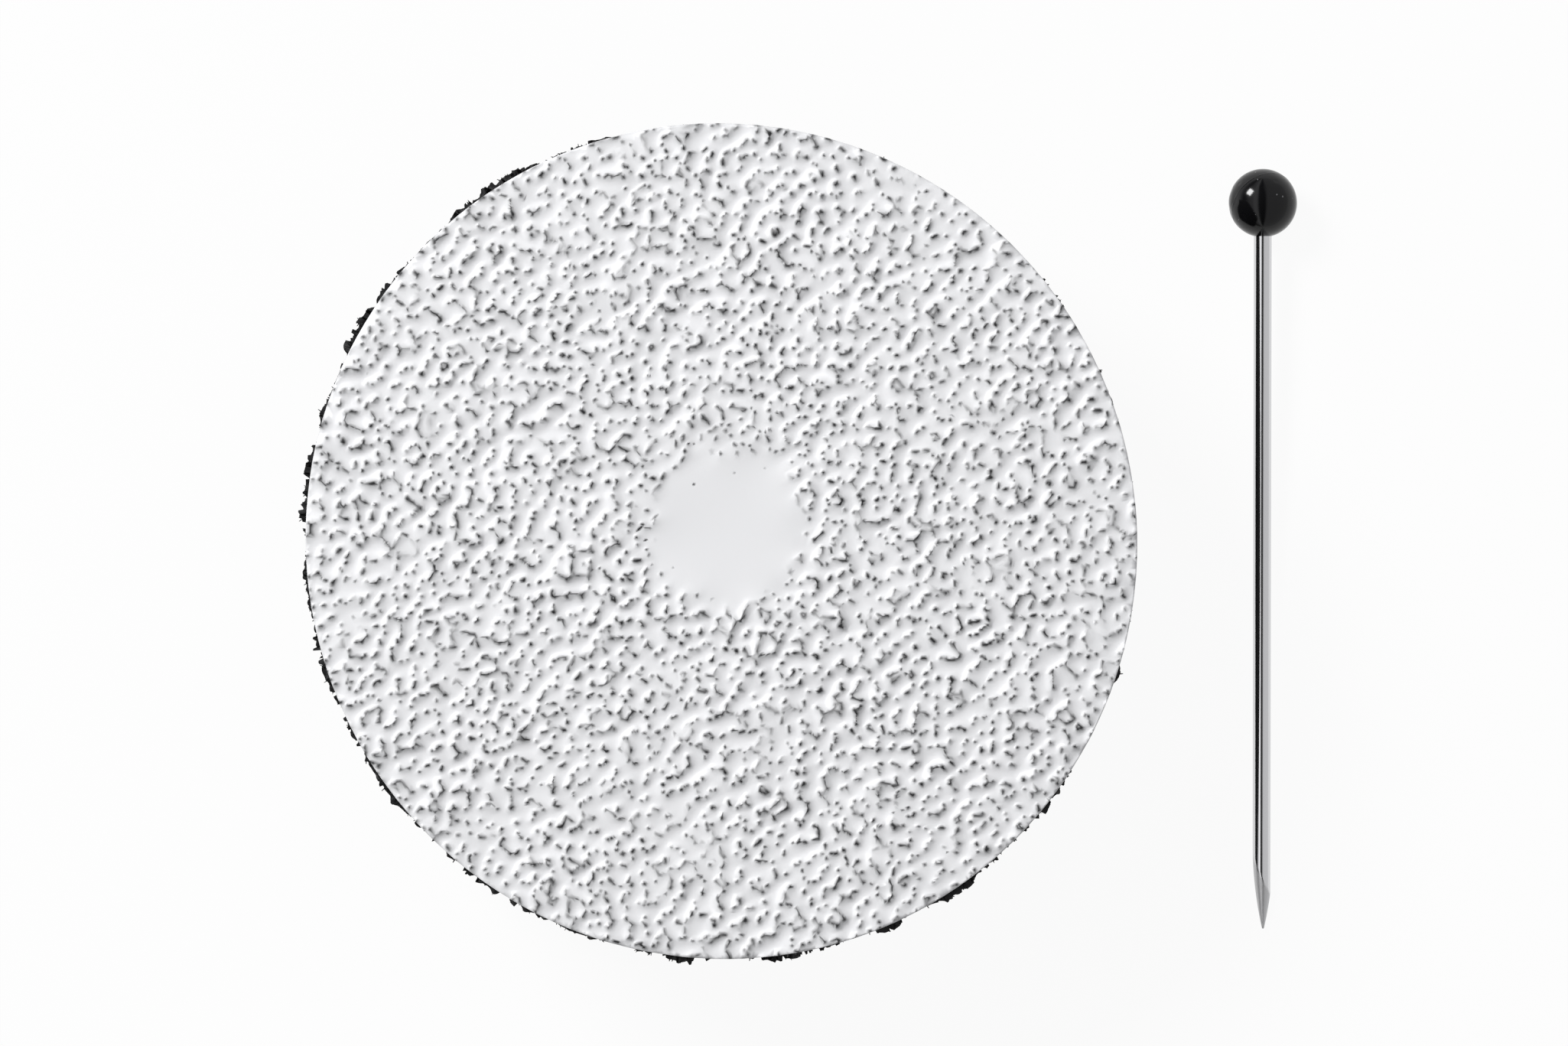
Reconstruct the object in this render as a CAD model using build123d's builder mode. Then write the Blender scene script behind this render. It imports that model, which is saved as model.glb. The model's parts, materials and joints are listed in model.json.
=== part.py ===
from build123d import *
import os
from math import asin, atan, atan2, cos, degrees, hypot, sin, sqrt

# A round pin cushion: a disc of black open-cell foam, glued to a stiff base board,
# with a thin white film stretched over its top. The foam's top has a shallow round
# recess, a little off its middle. The film spans the recess with nothing beneath it,
# so it sags there into a smooth dish. A ball-headed steel pin lies beside the cushion.
#
# Millimetres. +Z is up, and the cushion and the pin stand on z = 0. The origin is
# the middle of the base board's underside.

# ---- Cushion sizes ---------------------------------------------------------------

foam_diameter = 40.9
foam_height = 13.8
foam_waist_depth = 0.7      # the wall is cut hollow, and its open cells lie deeper still

board_inset = 0.35          # how far the board's edge stands in from the foam's
board_thickness = 1.0
board_edge_chamfer = 0.2

adhesive_inset = 0.65
adhesive_thickness = 0.1

recess_x = 0.26
recess_y = 0.57
recess_diameter = 7.6
recess_depth = 2.0
recess_floor_fillet = 0.5

film_inset = 0.2            # the foam springs back past the film where both are cut
film_thickness = 0.12
film_sag = 0.24             # how far the film hangs down in the middle of the dish
dish_rim_width = 0.6        # how far outside the recess the film starts to bend down
dish_rim_bend = 8.0         # radius of that bend, at the underside of the film

# ---- Pin sizes -------------------------------------------------------------------

pin_length = 38.1           # over all, from the top of the ball to the tip
pin_head_diameter = 3.45
pin_shank_diameter = 0.9
pin_bore_depth = 2.7        # how deep the shank stands in the ball

grip_ring_count = 3         # grooves rolled in the shank, which key it in the ball
grip_ring_pitch = 0.55
grip_ring_width = 0.25
grip_ring_depth = 0.1
grip_end_margin = 0.35      # plain shank between its end and the first groove
shank_end_chamfer = 0.08

point_length = 4.3          # of the ground point, on its longer side
point_tip_radius = 0.05
point_offset = 0.08         # the point is ground off the shank's axis

pin_head_x = 27.02
pin_head_y = 16.88

# ---- Heights and radii worked out from the sizes ----------------------------------

adhesive_base = board_thickness
foam_base = adhesive_base + adhesive_thickness
foam_top = foam_base + foam_height
foam_radius = foam_diameter / 2
board_radius = foam_radius - board_inset
adhesive_radius = foam_radius - adhesive_inset
film_radius = foam_radius - film_inset
recess_radius = recess_diameter / 2

# The dish, from its middle outwards: a wide arc, curving up, and then the arc of the
# rim, curving the other way until the film lies flat. They turn by the same angle.
dish_radius = recess_radius + dish_rim_width
dish_bottom = foam_top - film_sag
dish_turn = 2 * atan(film_sag / dish_radius)
dish_bend = dish_radius / sin(dish_turn) - dish_rim_bend
dish_plane = Plane(origin=(recess_x, recess_y, 0), x_dir=(1, 0, 0), z_dir=(0, -1, 0))
dish_axis = Axis((recess_x, recess_y, 0), (0, 0, 1))

# ---- How the pin lies -------------------------------------------------------------

pin_head_radius = pin_head_diameter / 2
pin_shank_radius = pin_shank_diameter / 2
# The point is an ogive: an arc that starts along the shank and curves in to the tip.
grind_reach = pin_shank_radius + point_offset
ogive_drop = grind_reach - point_tip_radius
ogive_radius = (point_length**2 + ogive_drop**2) / (2 * ogive_drop)
# The pin rests on its ball and on the end of the shank, where the grind starts below.
rest_drop = grind_reach - hypot(pin_shank_radius, point_offset)
rest_from_tip = point_length - sqrt(rest_drop * (2 * ogive_radius - rest_drop))
tip_y = pin_head_radius - pin_length
rest_span = -tip_y - rest_from_tip
pin_slope = asin(pin_head_radius / hypot(rest_span, pin_shank_radius)) - atan2(
    pin_shank_radius, rest_span
)
# In this plane x is across the pin, and y runs up its axis, from the tip to the head.
pin_plane = Plane(
    origin=(pin_head_x, pin_head_y, pin_head_radius),
    x_dir=(1, 0, 0),
    z_dir=(0, -sin(pin_slope), cos(pin_slope)),
)
pin_axis = Axis(pin_plane.origin, pin_plane.y_dir)
shank_top_y = pin_bore_depth - pin_head_radius
shank_length = shank_top_y - tip_y

# ---- Base board and its adhesive --------------------------------------------------

with BuildPart() as base_board:
    Cylinder(
        board_radius,
        board_thickness,
        align=(Align.CENTER, Align.CENTER, Align.MIN),
    )
    chamfer(base_board.edges().group_by(Axis.Z)[0], board_edge_chamfer)
base_board.part.label = "base_board"

with BuildPart() as base_adhesive:
    with BuildSketch(Plane.XY.offset(adhesive_base)):
        Circle(adhesive_radius)
    extrude(amount=adhesive_thickness)
base_adhesive.part.label = "base_adhesive"

# ---- Foam disc --------------------------------------------------------------------

with BuildPart() as foam_disc:
    with BuildSketch(Plane.XZ):
        with BuildLine():
            Line((0, foam_base), (foam_radius, foam_base))
            wall = ThreePointArc(
                (foam_radius, foam_base),
                (foam_radius - foam_waist_depth, foam_base + foam_height / 2),
                (foam_radius, foam_top),
            )
            Polyline(wall @ 1, (0, foam_top), (0, foam_base))
        make_face()
    revolve(axis=Axis.Z)
    # The foam yields under the film, all round the recess.
    with BuildSketch(dish_plane):
        with BuildLine():
            hang = JernArc((0, dish_bottom), (1, 0), dish_bend, degrees(dish_turn))
            bend = JernArc(hang @ 1, hang % 1, dish_rim_bend, -degrees(dish_turn))
            Polyline(bend @ 1, (0, foam_top), (0, dish_bottom))
        make_face()
    revolve(axis=dish_axis, mode=Mode.SUBTRACT)
    # The recess, cut down from the top.
    with BuildSketch(dish_plane):
        with Locations((0, foam_top)):
            Rectangle(recess_radius, recess_depth, align=(Align.MIN, Align.MAX))
        floor_corner = vertices().group_by(Axis.Z)[0].sort_by(Axis.X)[-1]
        fillet(floor_corner, recess_floor_fillet)
    revolve(axis=dish_axis, mode=Mode.SUBTRACT)
foam_disc.part.label = "foam_disc"

# ---- Cover film -------------------------------------------------------------------

with BuildPart() as cover_film:
    with BuildSketch(Plane.XY.offset(foam_top)):
        Circle(film_radius)
        with Locations((recess_x, recess_y)):
            Circle(dish_radius, mode=Mode.SUBTRACT)
    extrude(amount=film_thickness)
    with BuildSketch(dish_plane):
        with BuildLine():
            under = JernArc((0, dish_bottom), (1, 0), dish_bend, degrees(dish_turn))
            under_rim = JernArc(under @ 1, under % 1, dish_rim_bend, -degrees(dish_turn))
            over = JernArc(
                (0, dish_bottom + film_thickness),
                (1, 0),
                dish_bend - film_thickness,
                degrees(dish_turn),
            )
            over_rim = JernArc(
                over @ 1, over % 1, dish_rim_bend + film_thickness, -degrees(dish_turn)
            )
            Line(under @ 0, over @ 0)
            Line(under_rim @ 1, over_rim @ 1)
        make_face()
    revolve(axis=dish_axis)
cover_film.part.label = "cover_film"

# ---- Pin --------------------------------------------------------------------------

with BuildPart() as pin_shank:
    # The drawn wire, from its top inside the ball down to the tip.
    with BuildSketch(pin_plane):
        with Locations((0, shank_top_y)):
            Rectangle(pin_shank_radius, shank_length, align=(Align.MIN, Align.MAX))
        chamfer(vertices().sort_by(Axis.Y)[-1:].sort_by(Axis.X)[-1], shank_end_chamfer)
        # The grip rings, rolled into the end that the ball is moulded on.
        for ring in range(grip_ring_count):
            ring_y = shank_top_y - grip_end_margin - ring * grip_ring_pitch
            with Locations((pin_shank_radius, ring_y)):
                Rectangle(
                    grip_ring_depth,
                    grip_ring_width,
                    align=(Align.MAX, Align.MAX),
                    mode=Mode.SUBTRACT,
                )
    revolve(axis=pin_axis)
    # The ground point: an ogive about an axis of its own, beside the shank's.
    with BuildSketch(pin_plane):
        with BuildLine(Location((point_offset, tip_y))):
            TangentArc((grind_reach, point_length), (point_tip_radius, 0), tangent=(0, -1))
            Polyline(
                (point_tip_radius, 0),
                (0, 0),
                (0, shank_length),
                (grind_reach, shank_length),
                (grind_reach, point_length),
            )
        make_face()
    grind_axis = Axis(pin_plane.from_local_coords((point_offset, 0, 0)), pin_plane.y_dir)
    revolve(axis=grind_axis, mode=Mode.INTERSECT)
pin_shank.part.label = "pin_shank"

with BuildPart() as pin_head:
    with Locations(pin_plane):
        Sphere(pin_head_radius)
    # The ball is moulded round the shank and fills its grip rings.
    add(pin_shank.part, mode=Mode.SUBTRACT)
pin_head.part.label = "pin_head"

# ---- One STEP file for each piece -------------------------------------------------

os.makedirs("parts", exist_ok=True)
export_step(base_board.part, "parts/base_board.step")
export_step(base_adhesive.part, "parts/base_adhesive.step")
export_step(foam_disc.part, "parts/foam_disc.step")
export_step(cover_film.part, "parts/cover_film.step")
export_step(pin_shank.part, "parts/pin_shank.step")
export_step(pin_head.part, "parts/pin_head.step")
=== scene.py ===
"""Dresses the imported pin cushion: its film, its foam, its board and the pin beside it."""
import json
import logging
import math
from dataclasses import dataclass, field
from enum import Enum

import bpy
import numpy as np
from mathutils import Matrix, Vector

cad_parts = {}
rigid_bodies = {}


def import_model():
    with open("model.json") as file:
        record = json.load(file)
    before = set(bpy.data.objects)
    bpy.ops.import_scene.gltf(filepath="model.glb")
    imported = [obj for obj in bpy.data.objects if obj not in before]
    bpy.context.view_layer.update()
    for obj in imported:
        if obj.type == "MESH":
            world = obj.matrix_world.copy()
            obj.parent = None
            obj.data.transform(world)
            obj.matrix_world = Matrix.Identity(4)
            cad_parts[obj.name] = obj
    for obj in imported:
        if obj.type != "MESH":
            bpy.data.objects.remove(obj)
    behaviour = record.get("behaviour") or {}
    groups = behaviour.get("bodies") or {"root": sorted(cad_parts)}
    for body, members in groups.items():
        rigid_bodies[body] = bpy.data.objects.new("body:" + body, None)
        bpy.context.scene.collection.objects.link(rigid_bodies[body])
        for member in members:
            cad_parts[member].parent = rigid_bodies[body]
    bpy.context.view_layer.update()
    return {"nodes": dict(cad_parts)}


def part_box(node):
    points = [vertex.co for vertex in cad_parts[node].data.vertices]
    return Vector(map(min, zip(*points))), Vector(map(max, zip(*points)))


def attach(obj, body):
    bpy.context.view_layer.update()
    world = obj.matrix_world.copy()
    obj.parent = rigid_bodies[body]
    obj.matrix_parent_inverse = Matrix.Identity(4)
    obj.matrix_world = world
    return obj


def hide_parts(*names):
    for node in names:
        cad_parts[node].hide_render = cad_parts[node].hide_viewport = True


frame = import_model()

log = logging.getLogger("pin_cushion")

MM = 0.001


class Body(Enum):
    """The two things that move apart: the cushion, and the pin beside it."""

    CUSHION = "cushion"
    PIN = "pin"


class Slot(Enum):
    """The record's material slots."""

    BOARD = "board"
    ADHESIVE = "adhesive"
    FOAM = "foam"
    FILM = "film"
    STEEL = "steel"
    BALL = "ball"


# ---- Numbers shared by the film and the foam ---------------------------------------


def smooth_noise(x: np.ndarray, y: np.ndarray, size: float, seed: int,
                 round_way: float = 140.0) -> np.ndarray:
    """Soft lumps over a plane, which repeat along it.

    Args:
        x: Places along the plane, in mm.
        y: Places across the plane, in mm.
        size: About how far apart the lumps stand, in mm.
        seed: Which lumps are drawn.
        round_way: After how many mm they repeat, both ways.

    Returns:
        One height for each place, with a mean of about 0 and a spread of about 1.
    """
    count = round(round_way / size)
    heights = np.random.default_rng(seed).normal(0, 1.5, (count, count))
    column = x * count / round_way
    row = y * count / round_way
    i = np.floor(column).astype(int)
    j = np.floor(row).astype(int)
    s = column - i
    t = row - j
    s = s * s * (3 - 2 * s)
    t = t * t * (3 - 2 * t)
    i, j, right, up = i % count, j % count, (i + 1) % count, (j + 1) % count
    near = heights[j, i] * (1 - s) + heights[j, right] * s
    far = heights[up, i] * (1 - s) + heights[up, right] * s
    return near * (1 - t) + far * t


@dataclass
class CellFoam:
    """Open-cell foam, as the struts that are left where three cells meet.

    The cells stand on a body-centred lattice, each moved a little at random.

    Attributes:
        lattice: Width of the lattice's cube, in mm. A cell is about as wide.
        rise: How much taller than wide the cells are, because the foam rose as it set.
        disorder: How far a cell is moved, as a share of the lattice.
        seed: Which foam is drawn.
        low: Lowest corner of the foam, in mm.
        high: Highest corner of the foam, in mm.
    """

    lattice: float = 0.93
    rise: float = 1.4
    disorder: float = 0.19
    seed: int = 7
    low: tuple[float, float, float] = (-22.0, -22.0, -1.0)
    high: tuple[float, float, float] = (22.0, 22.0, 16.5)
    corner: np.ndarray = field(init=False)
    counts: np.ndarray = field(init=False)
    cells: list[np.ndarray] = field(init=False)

    def __post_init__(self) -> None:
        """Places the cells of both cubes of the lattice."""
        self.corner = np.array(self.low) / (1, 1, self.rise)
        span = np.array(self.high) / (1, 1, self.rise) - self.corner
        self.counts = np.ceil(span / self.lattice).astype(int) + 4
        rng = np.random.default_rng(self.seed)
        corner = np.stack(np.meshgrid(*map(np.arange, self.counts), indexing="ij"), -1)
        self.cells = []
        for shift in (0.25, 0.75):
            moved = corner + shift + rng.normal(0, self.disorder, corner.shape)
            centres = (moved - 1) * self.lattice + self.corner
            self.cells.append(centres.reshape(-1, 3).astype(np.float32))

    def off_solid(self, points: np.ndarray, strut: float, knot: float, window: float) -> np.ndarray:
        """How far points lie from the foam's solid parts.

        Args:
            points: Places inside the foam, one a row, in mm.
            strut: Half a strut's width, in mm.
            knot: How much thicker struts are where four cells meet, in mm.
            window: Half the thickness of the skin between two cells, in mm, or 0 for none.

        Returns:
            About the distance in mm, exact enough next to a strut, and below 0 in one.
        """
        result = np.empty(len(points), np.float32)
        batch = 60_000
        for start in range(0, len(points), batch):
            skin, edge, corner = self._gaps(points[start : start + batch].astype(np.float32))
            off = edge - strut - knot * np.exp(-((corner / 0.1) ** 2))
            if window:
                off = np.minimum(off, skin - window)
            result[start : start + batch] = off
        return result

    def _gaps(self, points: np.ndarray) -> tuple[np.ndarray, np.ndarray, np.ndarray]:
        """Compares how near the four nearest cells' middles are.

        Args:
            points: Places inside the foam, one a row, in mm.

        Returns:
            About how far each point is from where two, three and four cells meet, in mm.
        """
        points = points / np.array((1, 1, self.rise), np.float32)
        cube = np.floor((points - self.corner) / self.lattice).astype(int) + 1
        _, rows, layers = self.counts
        home = (cube[:, 0] * rows + cube[:, 1]) * layers + cube[:, 2]
        x, y, z = (np.ascontiguousarray(points[:, axis]) for axis in range(3))
        first, second, third, fourth = (np.full(len(points), 1e9, np.float32) for _ in range(4))
        steps = [(i, j, k) for i in (-1, 0, 1) for j in (-1, 0, 1) for k in (-1, 0, 1)]
        for i, j, k in steps:
            beside = home + (i * rows + j) * layers + k
            for cells in self.cells:
                cell = cells[beside]
                square = (cell[:, 0] - x) ** 2 + (cell[:, 1] - y) ** 2 + (cell[:, 2] - z) ** 2
                fourth = np.minimum(fourth, np.maximum(third, square))
                third = np.minimum(third, np.maximum(second, square))
                second = np.minimum(second, np.maximum(first, square))
                first = np.minimum(first, square)
        apart = 2 * self.lattice * math.sqrt(3) / 2
        return (second - first) / apart, (third - first) / apart, (fourth - first) / apart


@dataclass(frozen=True)
class Look:
    """How the foam's solid parts are looked for along a line.

    Attributes:
        depth: How far to look, in mm.
        step: How far apart the looks are, in mm.
        strut: Half a strut's width, in mm.
        knot: How much thicker struts are where four cells meet, in mm.
        window: Half the thickness that a skin between two cells is found with, in mm.
        window_from: How deep the first skin lies that is still whole, in mm.
    """

    depth: float
    step: float
    strut: float = 0.05
    knot: float = 0.03
    window: float = 0.0
    window_from: float = 0.3

    def first_solid(self, foam: CellFoam, start: np.ndarray, way: np.ndarray) -> np.ndarray:
        """Looks from the cut surface into the foam.

        Args:
            foam: The foam.
            start: Where each line starts on the cut surface, one a row, in mm.
            way: Each line's unit direction into the foam, one a row.

        Returns:
            How deep each line first meets something, in mm, and depth where it never does.
        """
        found = np.full(len(start), self.depth)
        looking = np.arange(len(start))
        before = np.full(len(start), 1.0)
        for deep in np.arange(0.0, self.depth, self.step):
            window = self.window if deep > self.window_from else 0.0
            points = start[looking] + way[looking] * deep
            off = foam.off_solid(points, self.strut, self.knot, window)
            hit = off < 0
            back = np.clip(before[hit] / np.maximum(before[hit] - off[hit], 1e-6), 0, 1)
            found[looking[hit]] = max(deep - self.step, 0) + (self.step * back if deep else 0.0)
            looking = looking[~hit]
            before = off[~hit]
        return found


# ---- Mesh helpers -------------------------------------------------------------------


def mesh_piece(name: str, points: np.ndarray, triangles: np.ndarray) -> bpy.types.Object:
    """Makes an object from arrays.

    Args:
        name: The piece's name.
        points: Its points, one a row, in mm.
        triangles: The points of each triangle, counter-clockwise seen from outside.

    Returns:
        The new object, at the origin, in the scene.
    """
    mesh = bpy.data.meshes.new(name)
    mesh.vertices.add(len(points))
    mesh.vertices.foreach_set("co", (points * MM).astype(np.float32).ravel())
    mesh.loops.add(triangles.size)
    mesh.loops.foreach_set("vertex_index", triangles.astype(np.int32).ravel())
    mesh.polygons.add(len(triangles))
    mesh.polygons.foreach_set("loop_start", np.arange(0, triangles.size, 3, dtype=np.int32))
    mesh.update(calc_edges=True)
    mesh.shade_smooth()
    piece = bpy.data.objects.new(name, mesh)
    bpy.context.scene.collection.objects.link(piece)
    return piece


def paint(piece: bpy.types.Object, name: str, values: np.ndarray) -> None:
    """Stores one number for each point of a piece.

    Args:
        piece: The piece.
        name: The attribute's name, which the piece's material reads.
        values: The numbers.
    """
    attribute = piece.data.attributes.new(name, "FLOAT", "POINT")
    attribute.data.foreach_set("value", values.astype(np.float32))


def points_of(piece: bpy.types.Object) -> np.ndarray:
    """Reads a piece's points.

    Args:
        piece: The piece.

    Returns:
        The points, one a row, in mm.
    """
    points = np.empty(3 * len(piece.data.vertices), np.float32)
    piece.data.vertices.foreach_get("co", points)
    return points.reshape(-1, 3) / MM


def lay_out(piece: bpy.types.Object, places: np.ndarray, under: np.ndarray | None = None) -> None:
    """Gives a piece a UV map, named OFBake.

    Args:
        piece: The piece.
        places: Where each point lies on the map, from 0 to 1.
        under: Where it lies for faces that look down, or None for the same place.
    """
    mesh = piece.data
    corners = np.empty(len(mesh.loops), np.int32)
    mesh.loops.foreach_get("vertex_index", corners)
    mapped = places[corners]
    if under is not None:
        normals = np.empty(3 * len(mesh.polygons), np.float32)
        mesh.polygons.foreach_get("normal", normals)
        down = np.repeat(normals[2::3] < 0, 3)
        mapped[down] = under[corners[down]]
    layer = mesh.uv_layers.new(name="OFBake")
    layer.data.foreach_set("uv", mapped.astype(np.float32).ravel())


def made_plain(piece: bpy.types.Object) -> None:
    """Turns a piece's modifiers into a plain mesh, and removes them.

    Args:
        piece: The piece.
    """
    seen = piece.evaluated_get(bpy.context.evaluated_depsgraph_get())
    mesh = bpy.data.meshes.new_from_object(seen)
    piece.modifiers.clear()
    piece.vertex_groups.clear()
    before = piece.data
    name = before.name
    piece.data = mesh
    bpy.data.meshes.remove(before)
    mesh.name = name


def thinned_out(piece: bpy.types.Object, faces: int, free: np.ndarray) -> bpy.types.Object:
    """Takes out the triangles that a piece's shape needs least.

    Args:
        piece: The piece.
        faces: How many triangles may stay.
        free: Which points may go.

    Returns:
        The same piece, with a new mesh.
    """
    group = piece.vertex_groups.new(name="free")
    group.add(free.tolist(), 1.0, "REPLACE")
    modifier = piece.modifiers.new("thin_out", "DECIMATE")
    modifier.vertex_group = group.name
    modifier.ratio = faces / len(piece.data.polygons)
    modifier.use_collapse_triangulate = True
    made_plain(piece)
    piece.data.shade_smooth()
    return piece


def ring_disc(rings: int) -> tuple[np.ndarray, np.ndarray]:
    """A disc of even triangles: ring i has 6 i points.

    Args:
        rings: How many rings there are round the middle point.

    Returns:
        The points of a disc of radius 1, and its triangles, seen from above.
    """
    points = [np.zeros((1, 2))]
    triangles = []
    first = [0]
    for ring in range(1, rings + 1):
        first.append(first[-1] + max(1, 6 * (ring - 1)))
        turn = np.arange(6 * ring) * (2 * math.pi / (6 * ring))
        points.append(np.stack([np.cos(turn), np.sin(turn)], -1) * (ring / rings))
        inner_count = max(1, 6 * (ring - 1))
        side = np.repeat(np.arange(6), ring)
        along = np.tile(np.arange(ring), 6)
        outer = first[ring] + side * ring + along
        outer_next = first[ring] + (side * ring + along + 1) % (6 * ring)
        inner = first[ring - 1] + (side * (ring - 1) + along) % inner_count
        triangles.append(np.stack([inner, outer, outer_next], -1))
        if ring > 1:
            keep = along < ring - 1
            inner_next = first[ring - 1] + (side * (ring - 1) + along + 1) % inner_count
            triangles.append(np.stack([inner, outer_next, inner_next], -1)[keep])
    return np.concatenate(points), np.concatenate(triangles)


def read_grid(grid: np.ndarray, low: float, step: float, places: np.ndarray) -> np.ndarray:
    """Reads a square grid of heights between its points.

    Args:
        grid: The heights, row by row along y.
        low: x and y of the grid's first point, in mm.
        step: The grid's spacing, in mm.
        places: Where to read it, one x and y a row, in mm.

    Returns:
        One height for each place.
    """
    last = len(grid) - 2
    column = np.clip((places[:, 0] - low) / step, 0, last + 0.999)
    row = np.clip((places[:, 1] - low) / step, 0, last + 0.999)
    i = column.astype(int)
    j = row.astype(int)
    s = column - i
    t = row - j
    near = grid[j, i] * (1 - s) + grid[j, i + 1] * s
    far = grid[j + 1, i] * (1 - s) + grid[j + 1, i + 1] * s
    return near * (1 - t) + far * t


# ---- Materials ----------------------------------------------------------------------


class Shader:
    """A node material, built a few nodes at a time."""

    def __init__(self, name: str) -> None:
        """Starts a material with a Principled surface.

        Args:
            name: The material's name.
        """
        self.material = bpy.data.materials.new(name)
        self.material.use_nodes = True
        self.tree = self.material.node_tree
        self.tree.nodes.clear()
        self.output = self.tree.nodes.new("ShaderNodeOutputMaterial")
        self.surface = self.tree.nodes.new("ShaderNodeBsdfPrincipled")
        self.join(self.surface.outputs["BSDF"], self.output.inputs["Surface"])

    def join(self, source: bpy.types.NodeSocket, target: bpy.types.NodeSocket) -> None:
        """Links one socket to another."""
        self.tree.links.new(source, target)

    def node(self, kind: str, **settings: object) -> bpy.types.Node:
        """Adds a node.

        Args:
            kind: The node's type name, without ShaderNode.
            **settings: Its properties.

        Returns:
            The node.
        """
        made = self.tree.nodes.new("ShaderNode" + kind)
        for key, value in settings.items():
            setattr(made, key, value)
        return made

    def object_place(self) -> bpy.types.NodeSocket:
        """The point's place on the object, in metres."""
        return self.node("TexCoord").outputs["Object"]

    def stretched_place(self, scale: tuple[float, float, float]) -> bpy.types.NodeSocket:
        """The point's place, scaled along each axis.

        Args:
            scale: The three factors.

        Returns:
            The scaled place.
        """
        mapping = self.node("Mapping")
        mapping.inputs["Scale"].default_value = scale
        self.join(self.object_place(), mapping.inputs["Vector"])
        return mapping.outputs["Vector"]

    def noise(self, per_metre: float, detail: float = 4.0,
              place: bpy.types.NodeSocket | None = None) -> bpy.types.NodeSocket:
        """A noise pattern fixed to the object.

        Args:
            per_metre: How many lumps go to a metre.
            detail: How many finer layers it has.
            place: Where it is read, or None for the point's own place.

        Returns:
            Its grey output, from about 0.25 to 0.75.
        """
        texture = self.node("TexNoise")
        texture.inputs["Scale"].default_value = per_metre
        texture.inputs["Detail"].default_value = detail
        self.join(place or self.object_place(), texture.inputs["Vector"])
        return texture.outputs["Fac"]

    def attribute(self, name: str) -> bpy.types.NodeSocket:
        """The number that a piece stores under a name."""
        return self.node("Attribute", attribute_name=name).outputs["Fac"]

    def math(self, operation: str, first: object, second: object = 0.0,
             clamp: bool = False) -> bpy.types.NodeSocket:
        """Adds a Math node.

        Args:
            operation: Its operation.
            first: A socket or a number.
            second: A socket or a number.
            clamp: Whether the result is kept from 0 to 1.

        Returns:
            Its output.
        """
        made = self.node("Math", operation=operation, use_clamp=clamp)
        for socket, value in zip(made.inputs, (first, second)):
            if isinstance(value, bpy.types.NodeSocket):
                self.join(value, socket)
            else:
                socket.default_value = value
        return made.outputs["Value"]

    def ramp(self, factor: bpy.types.NodeSocket, low: float, high: float,
             dark: tuple[float, float, float], light: tuple[float, float, float],
             ) -> bpy.types.NodeSocket:
        """Fades between two colours.

        Args:
            factor: What it reads.
            low: Where the first colour ends.
            high: Where the second colour is reached.
            dark: The first colour.
            light: The second colour.

        Returns:
            The colour.
        """
        made = self.node("ValToRGB")
        made.color_ramp.elements[0].position = low
        made.color_ramp.elements[0].color = (*dark, 1)
        made.color_ramp.elements[1].position = high
        made.color_ramp.elements[1].color = (*light, 1)
        self.join(factor, made.inputs["Fac"])
        return made.outputs["Color"]

    def bump(self, height: bpy.types.NodeSocket, depth_mm: float, strength: float = 1.0) -> None:
        """Raises the surface a little.

        Args:
            height: The relief, from 0 to 1.
            depth_mm: How high 1 stands.
            strength: How much of it shows.
        """
        made = self.node("Bump")
        made.inputs["Strength"].default_value = strength
        made.inputs["Distance"].default_value = depth_mm * MM
        self.join(height, made.inputs["Height"])
        self.join(made.outputs["Normal"], self.surface.inputs["Normal"])

    def set(self, **values: object) -> None:
        """Sets sockets of the surface, such as roughness or ior.

        Args:
            **values: A number or colour for each socket, or another socket to link.
        """
        names = {
            "base": "Base Color", "metallic": "Metallic", "roughness": "Roughness",
            "ior": "IOR", "specular": "Specular IOR Level",
        }
        for key, value in values.items():
            socket = self.surface.inputs[names[key]]
            if isinstance(value, bpy.types.NodeSocket):
                self.join(value, socket)
            else:
                socket.default_value = (*value, 1) if isinstance(value, tuple) else value


@dataclass(frozen=True)
class FilmFinish:
    """White half-gloss film, grey to black where it is pressed thin on a black strut, and grey round there:
    partly the struts seen through it, partly painted shade.

    Attributes:
        white: The film where nothing is near beneath it.
        ink: The film where a strut's end shows through it.
        roughness: How soft its gloss is.
    """

    white: tuple[float, float, float] = (0.852, 0.854, 0.868)
    ink: tuple[float, float, float] = (0.012, 0.012, 0.013)
    roughness: float = 0.42

    def material(self) -> bpy.types.Material:
        """Builds the material."""
        shader = Shader("white_film")
        # The attribute holds the ink where struts press the film, and a grey round it that is partly painted
        # shade.
        ink_and_shade_share = shader.attribute("ink_and_painted_shade")
        mottle = shader.noise(900, 3.0)
        ink_and_shade_share = shader.math("MULTIPLY", ink_and_shade_share, shader.math("ADD", shader.math("MULTIPLY", mottle, 0.5), 0.78),
                           clamp=True)
        shader.set(base=shader.ramp(ink_and_shade_share, 0.0, 1.0, self.white, self.ink))
        haze = shader.noise(2600, 2.0)
        shader.set(roughness=shader.math("ADD", shader.math("MULTIPLY", haze, 0.1), self.roughness - 0.05))
        shader.set(ior=1.5)
        shader.bump(shader.noise(9000, 2.0), 0.003, 0.5)
        return shader.material


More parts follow.
